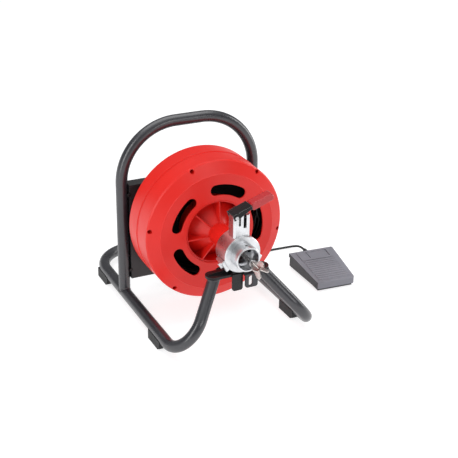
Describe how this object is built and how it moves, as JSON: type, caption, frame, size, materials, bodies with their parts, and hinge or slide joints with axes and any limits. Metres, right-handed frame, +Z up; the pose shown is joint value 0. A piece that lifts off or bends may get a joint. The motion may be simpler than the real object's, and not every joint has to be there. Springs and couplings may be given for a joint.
{
  "type": "drain snake machine",
  "caption": "Electric drum drain-cleaning machine on a tube frame, with roller cable feed, lever, belt drive and air foot pedal.",
  "frame": {"origin": "on the floor, midway between the four rubber feet", "axes": "+Z up, -Y along the cable outlet, +X to the right for someone standing behind the machine"},
  "size_m": [0.5964, 0.632, 0.464],
  "materials": {
    "frame_paint": "satin powder coat",
    "black_paint": "satin black",
    "case_paint": "satin powder coat",
    "drum_plastic": "gloss moulded",
    "grip_plastic": "moulded",
    "machined_aluminium": "turned and milled",
    "motor_aluminium": "cast, painted grey",
    "steel": "machined",
    "zinc_steel": "zinc plated",
    "spring_steel": "drawn wire",
    "cutter_steel": "polished",
    "bronze": "machined",
    "nylon_pulley": "turned",
    "black_rubber": "moulded",
    "belt_rubber": "ribbed",
    "hose_rubber": "smooth",
    "pedal_plastic": "fine texture",
    "black_plastic": "fine texture"
  },
  "bodies": {
    "frame": {"base_tube": "frame_paint", "handle_tube": "frame_paint", "frame_feet": "black_rubber", "front_bracket": "black_paint", "bracket_lugs": "black_paint", "bracket_bolts": "zinc_steel", "drive_case": "case_paint", "drive_plate": "case_paint", "drive_bolts": "zinc_steel", "drive_belt": "belt_rubber", "bearing_housing": "steel", "bearing_outer_rings": "steel", "motor_housing": "motor_aluminium", "motor_fan_cover": "black_plastic", "switch_box": "black_plastic", "switch_box_lid": "black_plastic", "mains_inlet": "black_plastic", "air_nipple": "zinc_steel", "feed_body": "machined_aluminium", "nozzle": "machined_aluminium", "throat_bush": "bronze", "roller_carrier_left": "machined_aluminium", "roller_carrier_right": "machined_aluminium", "side_roller_axles": "steel", "adjuster_screws": "zinc_steel", "carriage_spring": "spring_steel", "lever_pin": "steel", "pedal_base": "pedal_plastic", "pedal_pins": "steel", "pedal_nipple": "hose_rubber", "pedal_springs": "spring_steel", "air_bulb": "black_rubber", "air_hose_upper": "hose_rubber", "air_hose_coil": "hose_rubber", "air_hose_lower": "hose_rubber"},
    "drum": {"drum_front_shell": "drum_plastic", "drum_rear_shell": "drum_plastic", "drum_funnel": "drum_plastic", "drum_screws": "zinc_steel", "drum_shaft": "steel", "drum_pulley": "nylon_pulley", "pulley_nut": "zinc_steel", "bearing_inner_rings": "steel", "wound_cable": "spring_steel"},
    "cable": {"cable_lead": "spring_steel", "tool_coupling": "steel", "cutter_head": "cutter_steel"},
    "rotor": {"motor_shaft": "steel", "motor_pulley": "nylon_pulley", "motor_fan": "black_plastic"},
    "lever": {"feed_lever": "black_paint", "lever_grip": "grip_plastic"},
    "carriage": {"roller_carriage": "steel", "top_roller_axle": "steel"},
    "top_roller": {"top_roller": "steel"},
    "left_roller": {"side_roller_left": "steel"},
    "right_roller": {"side_roller_right": "steel"},
    "knob": {"direction_knob": "black_plastic"},
    "treadle": {"pedal_treadle": "pedal_plastic", "pedal_mat": "pedal_plastic"}
  },
  "joints": [
    {"name": "drum_spin", "type": "hinge", "parent": "frame", "child": "drum", "pos_m": [0, 0, 0.225], "axis": [0, 1, 0], "continuous": true},
    {"name": "cable_feed", "type": "slide", "parent": "drum", "child": "cable", "axis": [0, -1, 0], "range_m": [0, 0.12]},
    {"name": "motor_spin", "type": "hinge", "parent": "frame", "child": "rotor", "pos_m": [0, 0, 0.098], "axis": [0, 1, 0], "continuous": true},
    {"name": "lever_press", "type": "hinge", "parent": "frame", "child": "lever", "pos_m": [-0.015, -0.228, 0.315], "axis": [0, 1, 0], "range_deg": [0, 22], "stiffness_Nm_per_rad": 1.5, "springref_deg": -14.32},
    {"name": "carriage_drop", "type": "slide", "parent": "frame", "child": "carriage", "axis": [0, 0, -1], "range_m": [0, 0.00572], "deforming": ["carriage_spring"]},
    {"name": "top_roller_spin", "type": "hinge", "parent": "carriage", "child": "top_roller", "pos_m": [0, -0.228, 0.24502], "axis": [-0.342, 0.9397, 0], "continuous": true},
    {"name": "left_roller_spin", "type": "hinge", "parent": "frame", "child": "left_roller", "pos_m": [-0.01238, -0.228, 0.21785], "axis": [0.171, 0.9397, -0.2962], "continuous": true},
    {"name": "right_roller_spin", "type": "hinge", "parent": "frame", "child": "right_roller", "pos_m": [0.01238, -0.228, 0.21785], "axis": [0.171, 0.9397, 0.2962], "continuous": true},
    {"name": "direction_turn", "type": "hinge", "parent": "frame", "child": "knob", "pos_m": [0.012, 0.132, 0.19], "axis": [0, 0, 1], "range_deg": [-45, 45]},
    {"name": "pedal_press", "type": "hinge", "parent": "frame", "child": "treadle", "pos_m": [0.33736, -0.0988, 0.012], "axis": [-0.9976, 0.0698, 0], "range_deg": [0, 1.6], "stiffness_Nm_per_rad": 20, "springref_deg": -2.86, "deforming": ["pedal_springs", "air_bulb"]}
  ],
  "couplings": [
    {"joint": "motor_spin", "follows": "drum_spin", "ratio": 4.9333},
    {"joint": "carriage_drop", "follows": "lever_press", "m_per_rad": 0.014908}
  ]
}
